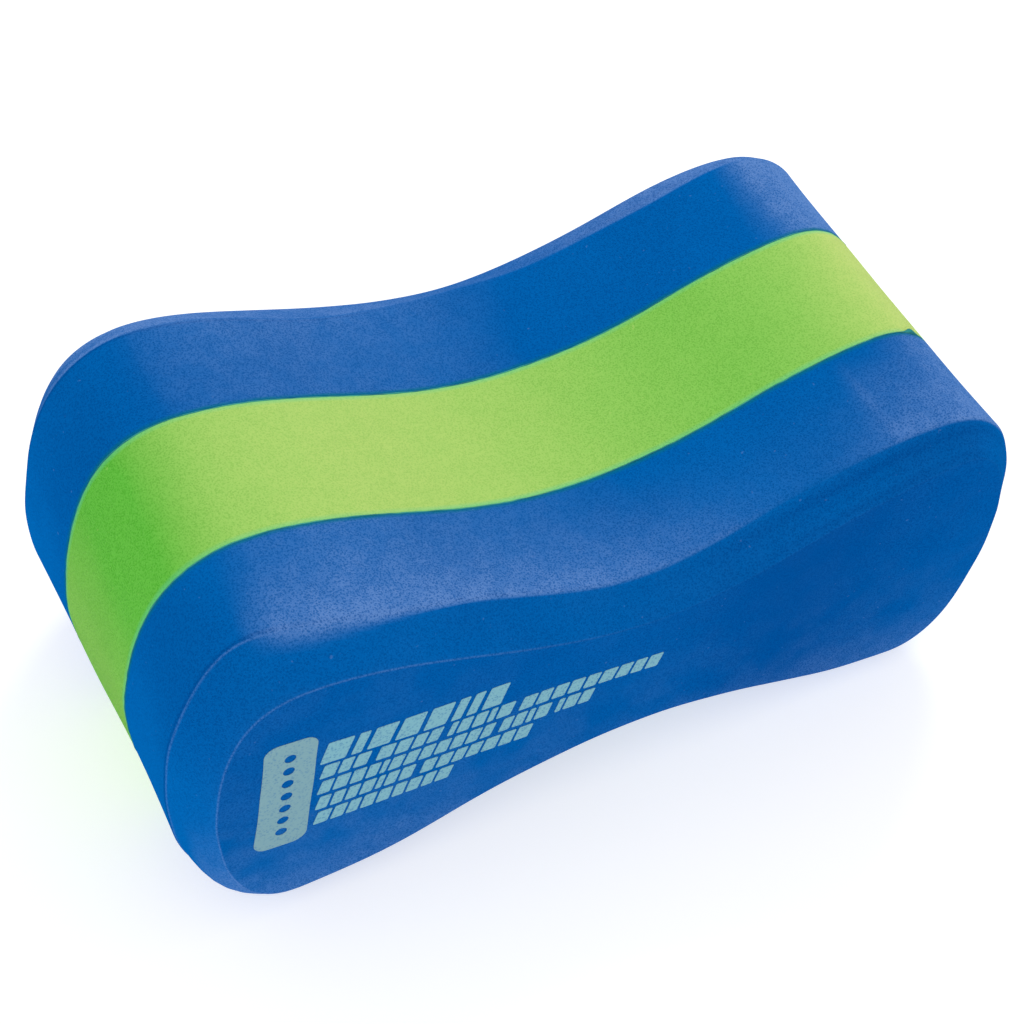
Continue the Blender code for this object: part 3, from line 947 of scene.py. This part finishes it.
# What each piece stands for: CAD node, material, record slot
standsFor = [
    (frontFoam, "front_foam_layer", blueFoam, "blue_foam"),
    (middleFoam, "centre_foam_layer", greenFoam, "green_foam"),
    (rearFoam, "rear_foam_layer", blueFoam, "blue_foam"),
    (frontBond, "front_glue_film", curedGlue, "glue"),
    (rearBond, "rear_glue_film", curedGlue, "glue"),
    (badgeInk, "printed_badge", badgePaint, "print_ink"),
    (headingInk, "printed_heading", lineInk, "print_ink"),
    *((piece, f"printed_line_{number + 1}", lineInk, "print_ink") for number, piece in enumerate(lineInks)),
]
for piece, node, material, slotName in standsFor:
    piece.data.materials.clear()
    piece.data.materials.append(material)
    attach(piece, "root")
    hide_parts(node)
print("pieces placed on the frame")


# Studio: pale floor, white surroundings, one soft key behind the block and one wide fill
studio = {
    "floorColour": (0.72, 0.72, 0.72), "floorRoughness": 0.9, "floorGlow": 0.48, "floorSize": 4.0,
    "floorHeight": -0.0003,
    "skyStrength": 0.75, "aimHeight": 0.05,
    "lights": {
        "key": {"place": (0.75, 0.85, 1.05), "size": 0.55, "power": 7.0},
        "fill": {"place": (-0.9, -0.9, 1.3), "size": 1.4, "power": 5.5},
    },
}

side, low = studio["floorSize"] / 2, studio["floorHeight"]
floorCorners = [(-side, -side, low), (side, -side, low), (side, side, low), (-side, side, low)]
floorMesh = bpy.data.meshes.new("studioFloor")
floorMesh.from_pydata(floorCorners, [], [(0, 1, 2, 3)])
floor = bpy.data.objects.new("studioFloor", floorMesh)
scene.collection.objects.link(floor)
floorPaint = bpy.data.materials.new("floorPaint")
floorPaint.use_nodes = True
setInputs(floorPaint.node_tree.nodes["Principled BSDF"], Base_Color=(*studio["floorColour"], 1.0),
          Roughness=studio["floorRoughness"], Specular_IOR_Level=0.0,
          Emission_Color=(1.0, 1.0, 1.0, 1.0), Emission_Strength=studio["floorGlow"])
floor.data.materials.append(floorPaint)

world = bpy.data.worlds.new("studioWorld")
world.use_nodes = True
setInputs(world.node_tree.nodes["Background"], Color=(1.0, 1.0, 1.0, 1.0), Strength=studio["skyStrength"])
world.cycles_visibility.glossy = False
floor.visible_glossy = False
scene.world = world

for name, light in studio["lights"].items():
    lamp = bpy.data.lights.new(name, "AREA")
    lamp.shape, lamp.size, lamp.energy = "DISK", light["size"], light["power"]
    holder = bpy.data.objects.new(name, lamp)
    holder.location = light["place"]
    away = Vector(light["place"]) - Vector((0, 0, studio["aimHeight"]))
    holder.rotation_euler = away.to_track_quat("Z", "Y").to_euler()
    scene.collection.objects.link(holder)

# Camera: back direction from the block, roll, distance and lens
shot = {"target": (-0.00238, -0.00131, 0.04908), "azimuth": -32.37, "elevation": 51.10, "roll": 6.825,
        "distance": 0.5772, "lens": 78.29, "sensor": 36.0}
around, above = math.radians(shot["azimuth"]), math.radians(shot["elevation"])
back = Vector((math.sin(around) * math.cos(above), -math.cos(around) * math.cos(above), math.sin(above)))
level = Vector((0, 0, 1)).cross(back).normalized()
tilt = math.radians(shot["roll"])
right = level * math.cos(tilt) + back.cross(level) * math.sin(tilt)
camera = bpy.data.objects.new("shotCamera", bpy.data.cameras.new("shotCamera"))
camera.data.lens, camera.data.sensor_width = shot["lens"], shot["sensor"]
camera.location = Vector(shot["target"]) + back * shot["distance"]
camera.rotation_euler = Matrix((right, back.cross(right), back)).transposed().to_euler()
scene.collection.objects.link(camera)
scene.camera = camera
scene.view_settings.view_transform = "Standard"
print("studio and camera made")
